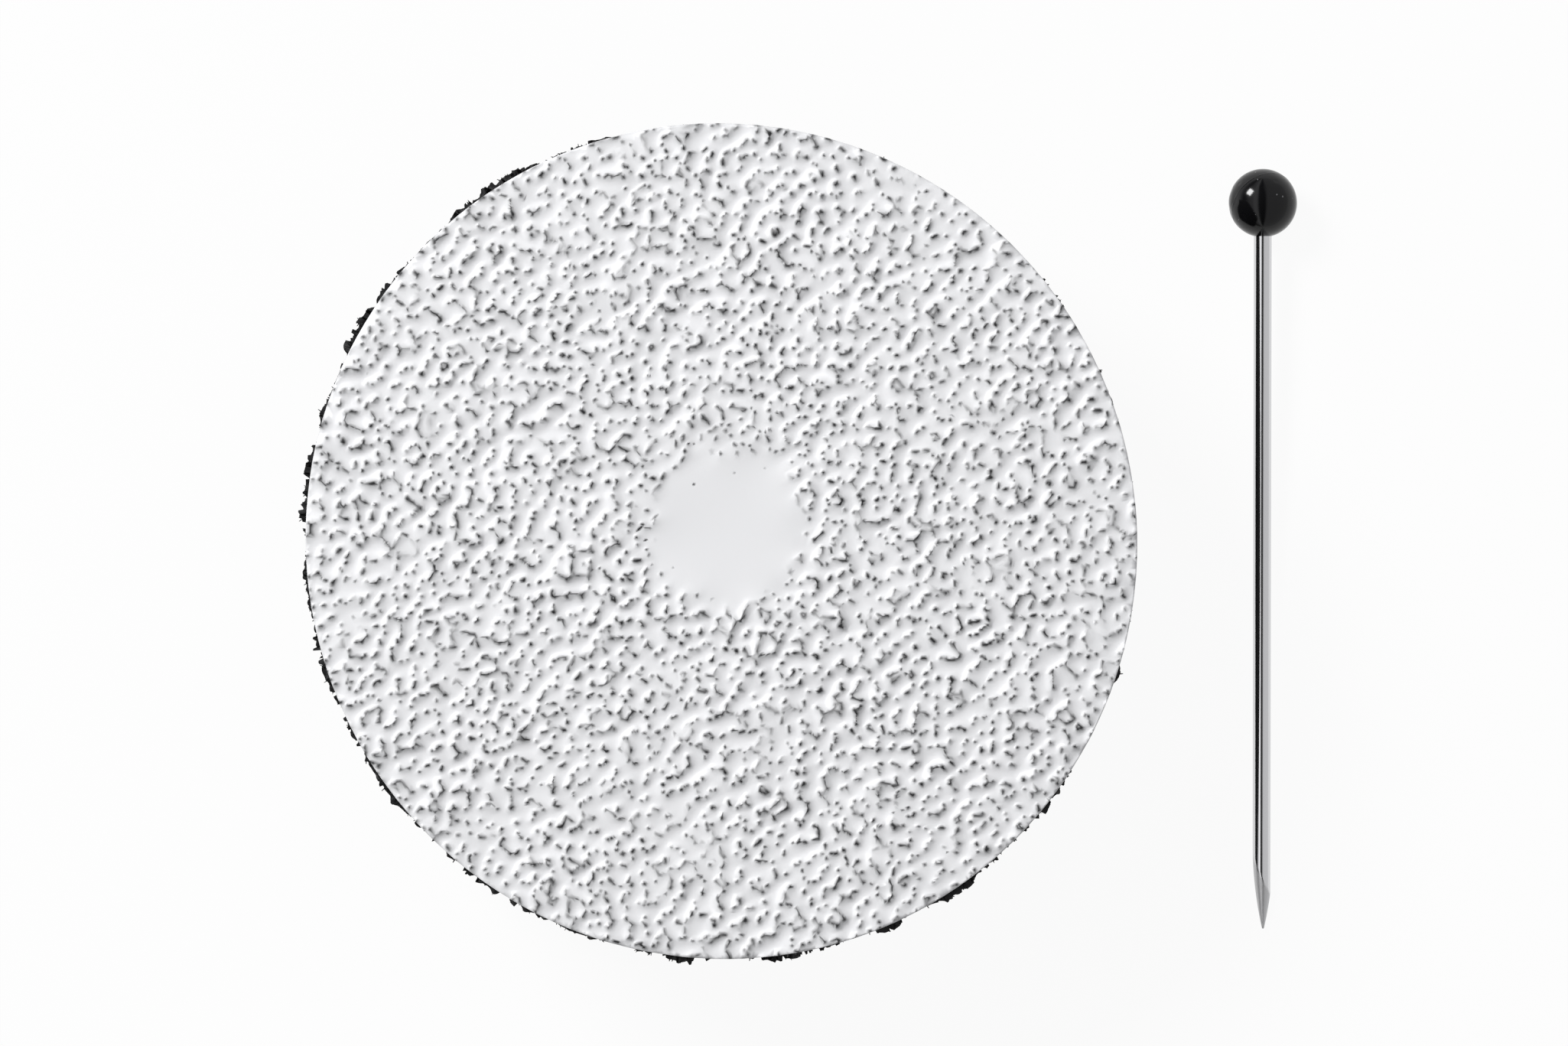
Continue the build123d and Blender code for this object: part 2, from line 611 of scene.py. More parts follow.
@dataclass(frozen=True)
class FoamFinish:
    """Black polyurethane foam, its colour lighter at the wall's face and darker the deeper it lies in the
    cells, which is painted shade.
    """

    strut: tuple[float, float, float] = (0.006, 0.006, 0.0065)
    cell: tuple[float, float, float] = (0.002, 0.002, 0.0022)

    def material(self, name: str = "black_foam") -> bpy.types.Material:
        """Builds the material.

        Args:
            name: What the material is called.

        Returns:
            The material.
        """
        shader = Shader(name)
        depth = shader.attribute("depth")
        grain = shader.noise(6000, 3.0)
        depth = shader.math("ADD", depth, shader.math("MULTIPLY", shader.math("SUBTRACT", grain, 0.5), 0.3),
                            clamp=True)
        # Painted shade: the colour darkens from the struts at the wall's face to the deepest parts of its
        # cells.
        shader.set(base=shader.ramp(depth, 0.1, 0.9, self.strut, self.cell))
        shader.set(roughness=shader.math("ADD", shader.math("MULTIPLY", grain, 0.2), 0.5), specular=0.25)
        shader.bump(grain, 0.01, 0.6)
        return shader.material


@dataclass(frozen=True)
class BoardFinish:
    """Dense black card: fibres, pressed flat, with a few paler ones."""

    dark: tuple[float, float, float] = (0.022, 0.022, 0.023)
    pale: tuple[float, float, float] = (0.06, 0.058, 0.055)

    def material(self) -> bpy.types.Material:
        """Builds the material."""
        shader = Shader("black_card")
        fibres = shader.noise(2200, 6.0, shader.stretched_place((1.0, 0.22, 1.6)))
        crossing = shader.noise(2200, 6.0, shader.stretched_place((0.22, 1.0, 1.6)))
        felt = shader.math("MAXIMUM", fibres, crossing)
        shader.set(base=shader.ramp(felt, 0.52, 0.8, self.dark, self.pale))
        shader.set(roughness=shader.math("ADD", shader.math("MULTIPLY", felt, 0.25), 0.62))
        shader.bump(felt, 0.03, 0.7)
        return shader.material


@dataclass(frozen=True)
class AdhesiveFinish:
    """A thin layer of cured adhesive, clear amber over black, a little uneven."""

    colour: tuple[float, float, float] = (0.16, 0.13, 0.085)

    def material(self) -> bpy.types.Material:
        """Builds the material."""
        shader = Shader("cured_adhesive")
        flow = shader.noise(700, 4.0)
        darker = tuple(0.6 * part for part in self.colour)
        shader.set(base=shader.ramp(flow, 0.35, 0.65, darker, self.colour), roughness=0.35, ior=1.48)
        shader.bump(flow, 0.04, 0.8)
        return shader.material


@dataclass(frozen=True)
class SteelFinish:
    """Plated steel wire, drawn smooth, and scored by the wheel at the point.

    Attributes:
        plate: The metal's colour.
        smooth: Roughness of the drawn wire.
        ground: Roughness of the ground point.
    """

    plate: tuple[float, float, float] = (0.66, 0.66, 0.67)
    smooth: float = 0.13
    ground: float = 0.42

    def material(self) -> bpy.types.Material:
        """Builds the material."""
        shader = Shader("plated_steel")
        ground = shader.attribute("ground")
        drawn = shader.noise(3000, 4.0, shader.stretched_place((6.0, 0.12, 6.0)))
        scored = shader.noise(9000, 3.0, shader.stretched_place((0.25, 2.2, 0.25)))
        extra = shader.math("MULTIPLY", ground, self.ground - self.smooth)
        rough = shader.math("ADD", shader.math("MULTIPLY", drawn, 0.08), self.smooth - 0.04)
        shader.set(metallic=1.0, roughness=shader.math("ADD", rough, extra))
        shader.set(base=shader.ramp(ground, 0.0, 1.0, self.plate, (0.5, 0.5, 0.505)))
        lines = shader.math("ADD", shader.math("MULTIPLY", drawn, 0.15),
                            shader.math("MULTIPLY", scored, ground))
        shader.bump(lines, 0.006, 0.6)
        return shader.material


@dataclass(frozen=True)
class BallFinish:
    """Black moulded plastic, glossy, with fine dust on it."""

    black: tuple[float, float, float] = (0.004, 0.004, 0.0045)
    dust: tuple[float, float, float] = (0.2, 0.2, 0.21)

    def material(self) -> bpy.types.Material:
        """Builds the material."""
        shader = Shader("black_moulding")
        motes = shader.node("TexVoronoi", feature="F1")
        motes.inputs["Scale"].default_value = 2600
        shader.join(shader.object_place(), motes.inputs["Vector"])
        here = shader.math("LESS_THAN", motes.outputs["Distance"], 0.13)
        some = shader.math("GREATER_THAN", shader.noise(1500, 1.0), 0.56)
        dusty = shader.math("MULTIPLY", here, some)
        shader.set(base=shader.ramp(dusty, 0.0, 1.0, self.black, self.dust))
        rough = shader.math("ADD", shader.math("MULTIPLY", dusty, 0.5), 0.13)
        shader.set(roughness=rough, ior=1.5, specular=0.26)
        shader.bump(shader.noise(1100, 3.0), 0.012, 0.35)
        return shader.material


@dataclass(frozen=True)
class StrutEnds:
    """Torn ends of struts, which stand out all over the foam's cut wall.

    Attributes:
        density: How many there are, each square millimetre of the wall's outermost faces.
        length: In mm.
        width: In mm.
        sides: How many sides each has.
        blunt: How wide its broken end is, as a share of half its width.
        lean: How far it leans from the wall's facing, in radians.
        sizes: The smallest and the largest, beside the size given.
        outermost: How deep faces may lie and still carry ends, as a share of the wall's depth.
        seed: Where they stand.
    """

    density: float = 4.0
    length: float = 0.16
    width: float = 0.06
    sides: int = 5
    blunt: float = 0.6
    lean: float = 0.7
    sizes: tuple[float, float] = (0.45, 1.25)
    outermost: float = 0.05
    seed: int = 19

    def tree(self) -> bpy.types.NodeTree:
        """Builds the nodes that scatter the ends over a wall.

        Returns:
            The node tree, with its sizes as named inputs.
        """
        tree = bpy.data.node_groups.new("strut_ends", "GeometryNodeTree")
        sockets = {"Wall": "Geometry", "Density": "Float", "Length": "Float", "Width": "Float",
                   "Seed": "Int", "Finish": "Material"}
        for name, kind in sockets.items():
            tree.interface.new_socket(name, in_out="INPUT", socket_type=f"NodeSocket{kind}")
        tree.interface.new_socket("Ends", in_out="OUTPUT", socket_type="NodeSocketGeometry")

        def node(kind: str, **inputs: object) -> bpy.types.Node:
            """Adds a node, and sets or joins its inputs.

            Args:
                kind: The node's kind.
                **inputs: A value or another node's socket for each input, with _ for a space.

            Returns:
                The node.
            """
            made = tree.nodes.new(kind)
            for name, value in inputs.items():
                socket = made.inputs[name.replace("_", " ")]
                if isinstance(value, bpy.types.NodeSocket):
                    tree.links.new(value, socket)
                else:
                    socket.default_value = value
            return made

        given = node("NodeGroupInput").outputs
        depth = node("GeometryNodeInputNamedAttribute", Name="depth")
        outermost = tree.nodes.new("ShaderNodeMath")
        outermost.operation = "LESS_THAN"
        outermost.inputs[1].default_value = self.outermost
        tree.links.new(depth.outputs["Attribute"], outermost.inputs[0])
        scatter = node("GeometryNodeDistributePointsOnFaces", Mesh=given["Wall"],
                       Selection=outermost.outputs[0], Density=given["Density"], Seed=given["Seed"])
        broken = node("GeometryNodeMeshCone", Vertices=self.sides, Depth=given["Length"],
                      Radius_Bottom=given["Width"])
        broken.inputs["Radius Top"].default_value = self.blunt * self.width / 2 * MM
        lean = node("FunctionNodeRandomValue", Seed=given["Seed"])
        lean.data_type = "FLOAT_VECTOR"
        lean.inputs[0].default_value = (-self.lean, -self.lean, 0.0)
        lean.inputs[1].default_value = (self.lean, self.lean, 3.1)
        leaning = node("FunctionNodeRotateRotation", Rotation=scatter.outputs["Rotation"])
        leaning.rotation_space = "LOCAL"
        turned = node("FunctionNodeEulerToRotation", Euler=lean.outputs[0])
        tree.links.new(turned.outputs[0], leaning.inputs["Rotate By"])
        size = node("FunctionNodeRandomValue", Seed=given["Seed"])
        size.inputs[2].default_value, size.inputs[3].default_value = self.sizes
        ends = node("GeometryNodeInstanceOnPoints", Points=scatter.outputs["Points"],
                    Instance=broken.outputs["Mesh"], Rotation=leaning.outputs[0], Scale=size.outputs[1])
        plain = node("GeometryNodeRealizeInstances", Geometry=ends.outputs["Instances"])
        dressed = node("GeometryNodeSetMaterial", Geometry=plain.outputs["Geometry"],
                       Material=given["Finish"])
        node("NodeGroupOutput", Ends=dressed.outputs["Geometry"])
        return tree

    def build(self, wall: bpy.types.Object) -> bpy.types.Object:
        """Scatters the ends over the foam's wall.

        Args:
            wall: The foam, whose points know how deep they lie.

        Returns:
            The piece.
        """
        piece = bpy.data.objects.new("foam_strut_ends", wall.data.copy())
        bpy.context.scene.collection.objects.link(piece)
        modifier = piece.modifiers.new("strut_ends", "NODES")
        modifier.node_group = self.tree()
        finish = FoamFinish().material("foam_strut_ends")
        wanted = {"Density": self.density / MM**2, "Length": self.length * MM,
                  "Width": self.width / 2 * MM, "Seed": self.seed, "Finish": finish}
        for item in modifier.node_group.interface.items_tree:
            if item.in_out == "INPUT" and item.name in wanted:
                modifier[item.identifier] = wanted[item.name]
        made_plain(piece)
        piece.data.name = "foam_strut_ends"
        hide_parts("foam_disc")
        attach(piece, Body.CUSHION.value)
        return piece


# ---- The cushion ----------------------------------------------------------------------


@dataclass(frozen=True)
class Nick:
    """A small cut or prick in the film, open in its middle.

    Attributes:
        x: Its middle, in mm.
        y: Its middle, in mm.
        length: In mm.
        width: In mm.
        turn: Its direction, in degrees from +X.
        dark: How much of what lies beneath shows, from 0 to 1.
        deep: How far the film is pressed in there, in mm.
    """

    x: float
    y: float
    length: float
    width: float
    turn: float
    dark: float
    deep: float = 0.012

    def opening(self, places: np.ndarray) -> np.ndarray:
        """How far open the cut is at some places.

        Args:
            places: One x and y a row, in mm.

        Returns:
            From 0 outside the cut to 1 along its middle.
        """
        angle = math.radians(self.turn)
        dx = places[..., 0] - self.x
        dy = places[..., 1] - self.y
        along = (dx * math.cos(angle) + dy * math.sin(angle)) / (self.length / 2)
        across = (dy * math.cos(angle) - dx * math.sin(angle)) / (self.width / 2)
        lens = np.clip(1 - along**2, 0, 1)
        return np.clip(1.6 * (lens - np.abs(across)), 0, 1)


@dataclass
class Cushion:
    """The foam disc, the film over it, and the board and adhesive under it.

    Attributes:
        foam: The foam's cells.
        film_look: How the struts under the film are found.
        wall_look: How the cells of the wall are found.
        grid_step: Spacing of the film's height grid, in mm.
        bed_depth: How far below the highest strut the film would lie with none, in mm.
        tent: How far from a strut the film stays lifted, in mm.
        pull: How much harder the film is drawn along its streaks than across.
        pull_turn: Direction of the streaks, in degrees from +X.
        uneven: Spread of the cut struts' heights, over short and long ways, in mm.
        streaks: Spread of the bed's fine and broad streaks, in mm.
        recess_load: How hard the film hangs over the recess.
        recess_lip: How far in from the recess's edge its pressed foam reaches, in mm.
        oval: How much longer the film is one way than across it, as a share.
        oval_turn: Direction of its longer way, in degrees from +X.
        film_spacing: Spacing of the film's mesh before it is thinned out, in mm.
        film_faces: How many triangles are left of it.
        wall_spacing: Spacing of the wall's mesh, in mm.
        wall_hollow: How far the wall is cut in half way up, in mm.
        fringe_arc: Between which turns the foam stands out past the film, in degrees.
        fringe_fade: Over what turn it stops doing so, in degrees.
        nicks: The slits in the film.
    """

    foam: CellFoam
    film_look: Look = Look(depth=0.8, step=0.04, strut=0.035)
    wall_look: Look = Look(depth=1.5, step=0.06, strut=0.058, window=0.035)
    grid_step: float = 0.05
    bed_depth: float = 0.43
    tent: float = 0.28
    pull: float = 2.0
    pull_turn: float = 38.0
    uneven: tuple[float, float] = (0.045, 0.025)
    streaks: tuple[float, float] = (0.03, 0.03)
    recess_load: float = 0.042
    recess_lip: float = 0.55
    oval: float = 0.01
    oval_turn: float = 122.0
    film_spacing: float = 0.055
    film_faces: int = 194_000
    wall_spacing: float = 0.09
    wall_hollow: float = 0.25
    fringe_arc: tuple[float, float] = (108.0, 326.0)
    fringe_fade: float = 14.0
    nicks: tuple[Nick, ...] = (
        Nick(-3.24, 1.15, 0.6, 0.17, 42.0, 0.75),
        Nick(-3.97, 0.61, 0.64, 0.19, 42.0, 1.0),
        Nick(-1.34, 2.76, 0.2, 0.17, 10.0, 1.0),
        Nick(-3.68, 0.05, 0.26, 0.15, 20.0, 1.0),
        Nick(-2.35, -1.29, 0.15, 0.12, 0.0, 0.5),
        Nick(0.63, 3.31, 0.15, 0.12, 30.0, 0.5),
        Nick(-1.34, 4.72, 0.15, 0.13, 30.0, 0.9),
        Nick(2.11, 3.53, 0.15, 0.12, 60.0, 0.4),
    )

    def __post_init__(self) -> None:
        """Reads the sizes that the frame holds, in mm."""
        film_low, film_high = (np.array(corner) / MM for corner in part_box("cover_film"))
        foam_low, foam_high = (np.array(corner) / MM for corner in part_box("foam_disc"))
        self.film_radius = (film_high[0] - film_low[0]) / 2
        self.foam_radius = (foam_high[0] - foam_low[0]) / 2
        self.foam_base = foam_low[2]
        self.foam_top = foam_high[2]
        self.film_top = film_high[2]
        self.film_thickness = self.film_top - self.foam_top
        self.recess = np.array((0.26, 0.57))
        self.recess_radius = 3.8

    def build(self) -> None:
        """Makes and dresses every piece of the cushion."""
        heights = self.film_heights()
        film = self.film(heights)
        wall = self.wall(heights)
        ends = StrutEnds().build(wall)
        self.dress_base()
        report(film, wall, ends)

    # -- The film -----------------------------------------------------------------------

    def film_heights(self) -> "FilmHeights":
        """Lays the film over the struts.

        Returns:
            The film's heights on a grid.
        """
        half = math.ceil((self.foam_radius + 0.3) / (16 * self.grid_step)) * 16 * self.grid_step
        ticks = np.arange(-half, half, self.grid_step)
        x, y = np.meshgrid(ticks, ticks)
        from_middle = np.hypot(x, y)
        from_recess = np.hypot(x - self.recess[0], y - self.recess[1])
        short, long = self.uneven
        cut = short * smooth_noise(x, y, 1.0, 3) + long * smooth_noise(x, y, 3.0, 5)
        cut = np.minimum(cut - np.percentile(cut, 97), 0)
        # The foam at the recess's rim is pressed down.
        inner = self.recess_radius - self.recess_lip
        rim = np.clip(1 - (from_recess - inner) / (2.4 * self.recess_lip), 0, 1)
        cut = cut - 0.3 * rim**1.5
        foamy = (from_middle < self.foam_radius + 0.2) & (from_recess > inner)
        struts = np.full(x.shape, -self.film_look.depth)
        start = np.stack([x[foamy], y[foamy], self.foam_top + cut[foamy]], -1)
        way = np.broadcast_to(np.array((0.0, 0.0, -1.0)), start.shape)
        deep = self.film_look.first_solid(self.foam, start, way)
        struts[foamy] = cut[foamy] - deep
        bed = np.clip((from_recess - inner) / self.recess_lip, 0, 1) ** 2
        heights = self.drawn_film(struts, bed, self.bed_height(x, y))
        return FilmHeights(heights, struts, -half, self.grid_step)

    def bed_height(self, x: np.ndarray, y: np.ndarray) -> np.ndarray:
        """How high the soft bed between the struts lies, in streaks.

        Args:
            x: Places along the film, in mm.
            y: Places across the film, in mm.

        Returns:
            The bed's height at each place, in mm.
        """
        angle = math.radians(self.pull_turn)
        along = x * math.cos(angle) + y * math.sin(angle)
        across = y * math.cos(angle) - x * math.sin(angle)
        fine = smooth_noise(along / 2.2, across, 0.45, 31)
        broad = smooth_noise(along / 2.5, across, 1.3, 32)
        return self.streaks[0] * fine + self.streaks[1] * broad - self.bed_depth

    def drawn_film(self, struts: np.ndarray, bed: np.ndarray, bed_height: np.ndarray) -> np.ndarray:
        """Draws the film down onto the struts, from a coarse grid to the fine one.

        Args:
            struts: The height of the uppermost strut at each point of the grid, in mm.
            bed: 1 where the film is stuck to a soft bed, and 0 where it hangs free.
            bed_height: How high the bed lies, in mm.

        Returns:
            The film's height at each point of the grid, in mm.
        """
        angle = math.radians(self.pull_turn)
        c, s, share = math.cos(angle), math.sin(angle), math.sqrt(self.pull)
        along_x = (self.pull * c * c + s * s) / share
        along_y = (self.pull * s * s + c * c) / share
        across = (self.pull - 1) * c * s / share
        film = None
        for level, rounds in ((16, 80), (8, 80), (4, 90), (2, 110), (1, 170)):
            ground = coarser(struts, level, np.max)
            stuck = coarser(bed, level, np.mean) / self.tent**2 * (self.grid_step * level) ** 2
            load = (1 - coarser(bed, level, np.mean)) * self.recess_load * (self.grid_step * level) ** 2
            lowered = stuck * coarser(bed_height, level, np.mean) - load
            if film is None:
                film = coarser(bed_height, level, np.mean)
            else:
                film = np.repeat(np.repeat(film, 2, 0), 2, 1)
            film = np.maximum(film, ground)
            total = 2 * along_x + 2 * along_y + stuck
            for _ in range(rounds):
                p = np.pad(film, 1, mode="edge")
                level_with = (
                    along_x * (p[1:-1, 2:] + p[1:-1, :-2])
                    + along_y * (p[2:, 1:-1] + p[:-2, 1:-1])
                    + 0.5 * across * (p[2:, 2:] + p[:-2, :-2] - p[2:, :-2] - p[:-2, 2:])
                )
                rest = (level_with + lowered) / total
                film = np.maximum(0.05 * film + 0.95 * rest, ground)
        return film

    def film(self, heights: "FilmHeights") -> bpy.types.Object:
        """Makes the film as a thin closed sheet.

        Args:
            heights: The film's heights.

        Returns:
            The piece.
        """
        fold = 5
        coarse_rings = round(self.film_radius / self.film_spacing / fold)
        rings = fold * coarse_rings
        upper, upper_faces = ring_disc(rings)
        lower, lower_faces = ring_disc(coarse_rings)
        upper = self.ovalled(upper * self.film_radius)
        lower = self.ovalled(lower * self.film_radius)
        upper_z = self.film_top + heights.film_at(upper)
        for nick in self.nicks:
            upper_z -= nick.deep * nick.opening(upper)
        lower_z = self.film_top + heights.lowest_at(lower) - self.film_thickness
        edge = np.hypot(*lower.T) > self.film_radius * (1 - 1.5 / coarse_rings)
        lower_z[edge] = self.film_top + heights.film_at(lower[edge]) - self.film_thickness
        points = np.concatenate([np.column_stack([upper, upper_z]), np.column_stack([lower, lower_z])])
        base = len(upper)
        top_rim = base - 6 * rings + np.arange(6 * rings)
        low_rim = len(points) - 6 * coarse_rings + np.arange(6 * coarse_rings)
        sides = [np.stack([np.repeat(low_rim, fold), np.roll(top_rim, -1), top_rim], -1)]
        sides.append(np.stack([low_rim, np.roll(low_rim, -1), np.roll(top_rim, -fold)[::fold]], -1))
        faces = np.concatenate([upper_faces, lower_faces[:, ::-1] + base, *sides])
        kept = np.min([np.hypot(points[:, 0] - nick.x, points[:, 1] - nick.y) for nick in self.nicks], axis=0)
        whole = mesh_piece("cover_film_skin", points, faces)
        piece = thinned_out(whole, self.film_faces, np.flatnonzero(kept > 0.4))
        points = points_of(piece)
        # Ink where struts press the film, with grey round it that is partly painted shade; the nicks show
        # what lies beneath.
        shown = heights.ink_and_shade_at(points[:, :2])
        for nick in self.nicks:
            shown = np.maximum(shown, nick.opening(points) * nick.dark)
        paint(piece, "ink_and_painted_shade", shown)
        places = points[:, :2] / (2.04 * self.film_radius) + 0.5
        lay_out(piece, 0.02 + 0.88 * places, 0.91 + 0.08 * places)
        piece.data.materials.append(FilmFinish().material())
        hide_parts("cover_film")
        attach(piece, Body.CUSHION.value)
        return piece

    def ovalled(self, places: np.ndarray) -> np.ndarray:
        """Draws round places out a little, the way that the film is drawn.

        Args:
            places: One x and y a row, in mm.

        Returns:
            The moved places.
        """
        angle = math.radians(self.oval_turn)
        way = np.array((math.cos(angle), math.sin(angle)))
        side = np.array((-way[1], way[0]))
        longer = places @ way * (1 + self.oval / 2)
        shorter = places @ side * (1 - self.oval / 2)
        return longer[:, None] * way + shorter[:, None] * side

    # -- The foam -----------------------------------------------------------------------

    def wall(self, heights: "FilmHeights") -> bpy.types.Object:
        """Makes the foam: its cut wall, cell by cell, closed under the film.

        Args:
            heights: The film's heights, which the foam's top stays under.

        Returns:
            The piece.
        """
        turns = round(2 * math.pi * self.foam_radius / self.wall_spacing)
        rows = round((self.foam_top - self.foam_base) / self.wall_spacing) + 1
        turn = np.arange(turns) * (2 * math.pi / turns)
        height = np.linspace(self.foam_base, self.foam_top, rows)
        angle, level = np.meshgrid(turn, height)
        out = np.stack([np.cos(angle), np.sin(angle), np.zeros_like(angle)], -1)
        radius = self.cut_radius(angle, level)
        start = out * radius[..., None]
        start[..., 2] = level
        deep = self.wall_look.first_solid(self.foam, start.reshape(-1, 3), -out.reshape(-1, 3))
        deep = deep.reshape(angle.shape)
        deep[0] = np.minimum(deep[0], 0.3)
        inner = radius - deep
        wall = np.stack([inner * out[..., 0], inner * out[..., 1], level], -1)
        # The foam stays under the film, and its top and base close in the middle.
        under = self.film_top + heights.lowest_at(wall[..., :2].reshape(-1, 2)) - 2 * self.film_thickness
        wall[..., 2] = np.minimum(level, under.reshape(level.shape))
        lip_ring = (self.film_radius - 0.12) * out[0, :, :2]
        lip_z = self.film_top + heights.lowest_at(lip_ring) - 2 * self.film_thickness
        points = [wall.reshape(-1, 3), np.column_stack([lip_ring, lip_z])]
        points.append(np.array([[0, 0, self.foam_top - 1.2], [0, 0, self.foam_base]]))
        points = np.concatenate(points)
        here = np.arange(turns)
        after = np.roll(here, -1)
        faces = []
        for row in range(rows):
            low = row * turns
            high = low + turns
            faces.append(np.stack([low + here, low + after, high + after], -1))
            faces.append(np.stack([low + here, high + after, high + here], -1))
        top_middle = len(points) - 2
        base_middle = len(points) - 1
        last = rows * turns
        faces.append(np.stack([last + here, last + after, np.full(turns, top_middle)], -1))
        faces.append(np.stack([after, here, np.full(turns, base_middle)], -1))
        piece = mesh_piece("foam_disc_cells", points, np.concatenate(faces))
        # How deep each point lies in the wall: the foam's colour darkens with it as painted shade, and the
        # strut ends grow only where it is small.
        depth = np.concatenate([deep.ravel() / self.wall_look.depth, np.ones(turns + 2)])
        paint(piece, "depth", depth)
        across = np.concatenate([(angle / (2 * math.pi)).ravel(), turn / (2 * math.pi), [0.5, 0.5]])
        up = (level - self.foam_base) / (self.foam_top - self.foam_base)
        upward = np.concatenate([0.04 + 0.92 * up.ravel(), np.full(turns, 0.98), [1.0, 0.0]])
        lay_out(piece, np.column_stack([across, upward]))
        piece.data.materials.append(FoamFinish().material())
        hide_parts("foam_disc")
        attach(piece, Body.CUSHION.value)
        return piece

    def cut_radius(self, angle: np.ndarray, level: np.ndarray) -> np.ndarray:
        """Where the die cut the foam.

        Args:
            angle: Turn round the cushion, in radians.
            level: Height, in mm.

        Returns:
            The radius in mm: hollow half way up, and ragged.
        """
        whole = 2 * math.pi * self.foam_radius
        way = angle * self.foam_radius
        up = (level - self.foam_base) / (self.foam_top - self.foam_base)
        hollow = self.wall_hollow * 4 * up * (1 - up)
        longer = np.cos(2 * (angle - math.radians(self.oval_turn)))
        film_edge = self.film_radius * (1 + self.oval / 2 * longer)
        # The die leaned, so the foam stands out past the film on one side.
        low, high = (math.radians(edge) for edge in self.fringe_arc)
        inside = np.minimum(angle - low, high - angle) / math.radians(self.fringe_fade)
        leaning = np.clip(0.5 + inside, 0, 1)
        lumps = smooth_noise(way, level / 3, 1.7, 21, whole)
        lumps += 0.6 * smooth_noise(way, level / 2, 0.55, 22, whole)
        stands_out = leaning * (0.2 + 0.11 * lumps) + (1 - leaning) * (0.05 * lumps - 0.06)
        fine = 0.03 * smooth_noise(way, level, 0.3, 23, whole)
        return film_edge - hollow + np.clip(stands_out + fine, -0.2, 0.42)

    # -- The base -----------------------------------------------------------------------

    def dress_base(self) -> None:
        """Gives the board and its adhesive their finishes."""
        dress_node("base_board", BoardFinish().material())
        dress_node("base_adhesive", AdhesiveFinish().material())


@dataclass
class FilmHeights:
    """The film's heights, and those of the struts under it, on one grid.

    Attributes:
        film: The film's height over the highest strut, in mm.
        struts: The uppermost strut's height, in mm.
        low: x and y of the grid's first point, in mm.
        step: The grid's spacing, in mm.
        stiff: Over what distance the film's stiffness rounds it, in mm.
        poke: How far a strut stands out of the film round it where ink starts, in mm.
        poke_more: How much further where the ink is full, in mm.
        see_through_and_shade: How much grey there is round the ink, partly the struts seen through the film
            and partly painted shade.
    """

    film: np.ndarray
    struts: np.ndarray
    low: float
    step: float
    stiff: float = 0.038
    poke: float = 0.008
    poke_more: float = 0.02
    see_through_and_shade: float = 0.8

    def __post_init__(self) -> None:
        """Works out where the film is pressed, adds grey round it that is partly painted shade, rounds the
        film, and finds its lowest places.
        """
        touching = np.clip(1 - (self.film - self.struts) / 0.04, 0, 1)
        stands_out = self.film - softened(self.film, 0.08 / self.step)
        pressed = np.clip((stands_out - self.poke) / self.poke_more, 0, 1) * touching
        pressed = softened(pressed, 0.016 / self.step)
        # Grey round the ink: partly the black struts seen through the film close to them, partly painted
        # shade.
        around = softened(pressed, 0.15 / self.step) * self.see_through_and_shade
        self.pressed = np.clip(pressed + around * (1 - pressed), 0, 1)
        self.film = softened(self.film, self.stiff / self.step)
        self.lowest = lowest_near(self.film, 4)

    def film_at(self, places: np.ndarray) -> np.ndarray:
        """The film's height at some places, in mm over the highest strut."""
        return read_grid(self.film, self.low, self.step, places)

    def lowest_at(self, places: np.ndarray) -> np.ndarray:
        """The film's lowest height near some places, in mm over the highest strut."""
        return read_grid(self.lowest, self.low, self.step, places)

    def ink_and_shade_at(self, places: np.ndarray) -> np.ndarray:
        """How dark the film is at some places, from 0 to 1: how hard struts press it, with grey round that
        which is partly painted shade.
        """
        return read_grid(self.pressed, self.low, self.step, places)


def softened(grid: np.ndarray, reach: float) -> np.ndarray:
    """A grid, blurred.

    Args:
        grid: The grid.
        reach: How far it is blurred, in steps of the grid.

    Returns:
        The blurred grid.
    """
    width = math.ceil(3 * reach)
    weights = np.exp(-0.5 * (np.arange(-width, width + 1) / reach) ** 2)
    weights /= weights.sum()
    for _ in range(2):
        padded = np.pad(grid, ((width, width), (0, 0)), mode="edge")
        grid = sum(w * padded[i : i + len(grid)] for i, w in enumerate(weights)).T
    return grid


def lowest_near(grid: np.ndarray, steps: int) -> np.ndarray:
    """The lowest value round each point of a grid.

    Args:
        grid: The grid.
        steps: How far round, in steps of the grid.

    Returns:
        The lowest values.
    """
    for _ in range(steps):
        p = np.pad(grid, 1, mode="edge")
        grid = np.minimum.reduce([grid, p[1:-1, 2:], p[1:-1, :-2], p[2:, 1:-1], p[:-2, 1:-1]])
    return grid


def coarser(grid: np.ndarray, factor: int, pool: object) -> np.ndarray:
    """A grid with fewer points.

    Args:
        grid: A square grid, whose side the factor divides.
        factor: How many points become one, each way.
        pool: What takes a block's value, such as np.max.

    Returns:
        The smaller grid.
    """
    side = len(grid) // factor
    return pool(grid.reshape(side, factor, side, factor), axis=(1, 3))


def dress_node(node: str, material: bpy.types.Material) -> None:
    """Gives a CAD piece its finish.

    Args:
        node: The CAD node's name.
        material: The finish.
    """
    mesh = frame["nodes"][node].data
    mesh.materials.clear()
    mesh.materials.append(material)


def report(*pieces: bpy.types.Object) -> None:
    """Logs each piece's size.

    Args:
        *pieces: The pieces.
    """
    for piece in pieces:
        size = ", ".join(f"{side / MM:.2f}" for side in piece.dimensions)
        log.info("%s: %d faces, %s mm", piece.name, len(piece.data.polygons), size)


# ---- The pin --------------------------------------------------------------------------


